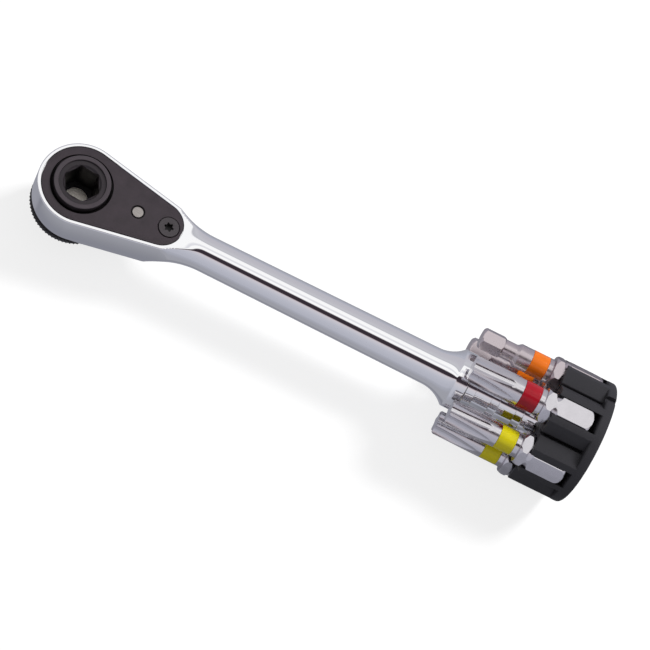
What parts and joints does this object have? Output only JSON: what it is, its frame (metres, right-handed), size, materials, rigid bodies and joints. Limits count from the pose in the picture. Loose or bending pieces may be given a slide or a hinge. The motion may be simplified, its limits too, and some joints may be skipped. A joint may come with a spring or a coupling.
{
  "type": "ratcheting bit wrench",
  "caption": "Palm-size reversible ratchet wrench with a hex bit socket, a knurled thumb wheel and a turning carousel of coded bits on the end of its round handle.",
  "frame": {"origin": "on the drive axis, at the top face of the cover plate", "axes": "+X along the handle towards the bit carousel, +Z out of the drive socket along the drive axis"},
  "size_m": [0.1178, 0.0254, 0.0254],
  "materials": {
    "chrome_steel": "polished chrome on forged steel",
    "black_oxide": "satin black oxide",
    "plain_steel": "ground steel",
    "magnet_plate": "nickel plated, grainy",
    "bit_steel": "satin grey tool steel",
    "black_nylon": "moulded, matt",
    "ring_rubber": "smooth",
    "red_band": "gloss",
    "yellow_band": "gloss",
    "orange_band": "gloss"
  },
  "bodies": {
    "handle": {"ratchet_body": "chrome_steel", "cover_plate": "black_oxide", "cover_screw": "black_oxide", "detent_ball": "plain_steel", "detent_spring": "plain_steel", "friction_ring": "ring_rubber"},
    "drive": {"drive_gear": "black_oxide", "socket_magnet": "magnet_plate", "thumb_wheel": "black_oxide", "wheel_clip": "plain_steel"},
    "lever": {"reverse_lever": "black_oxide", "lever_shaft": "plain_steel", "pawl": "plain_steel"},
    "carousel": {"bit_carousel": "black_nylon"},
    "bit_a": {"bit_1": "bit_steel", "bit_1_band": "red_band"},
    "bit_b": {"bit_2": "bit_steel", "bit_2_band": "yellow_band"},
    "bit_c": {"bit_3": "bit_steel", "bit_3_band": "yellow_band"},
    "bit_d": {"bit_4": "bit_steel", "bit_4_band": "red_band"},
    "bit_e": {"bit_5": "bit_steel", "bit_5_band": "orange_band"},
    "bit_f": {"bit_6": "bit_steel", "bit_6_band": "orange_band"}
  },
  "joints": [
    {"name": "drive_spin", "type": "hinge", "parent": "handle", "child": "drive", "pos_m": [0, 0, 0], "axis": [0, 0, 1], "continuous": true},
    {"name": "lever_flip", "type": "hinge", "parent": "handle", "child": "lever", "pos_m": [0.0118, 0, 0], "axis": [0, 0, 1], "range_deg": [-16, 0]},
    {"name": "carousel_turn", "type": "hinge", "parent": "handle", "child": "carousel", "pos_m": [0.1, 0, -0.0032], "axis": [1, 0, 0], "continuous": true},
    {"name": "bit_a_slide", "type": "slide", "parent": "carousel", "child": "bit_a", "axis": [-1, 0, 0], "range_m": [0, 0.01]},
    {"name": "bit_b_slide", "type": "slide", "parent": "carousel", "child": "bit_b", "axis": [-1, 0, 0], "range_m": [0, 0.01]},
    {"name": "bit_c_slide", "type": "slide", "parent": "carousel", "child": "bit_c", "axis": [-1, 0, 0], "range_m": [0, 0.01]},
    {"name": "bit_d_slide", "type": "slide", "parent": "carousel", "child": "bit_d", "axis": [-1, 0, 0], "range_m": [0, 0.01]},
    {"name": "bit_e_slide", "type": "slide", "parent": "carousel", "child": "bit_e", "axis": [-1, 0, 0], "range_m": [0, 0.01]},
    {"name": "bit_f_slide", "type": "slide", "parent": "carousel", "child": "bit_f", "axis": [-1, 0, 0], "range_m": [0, 0.01]}
  ]
}
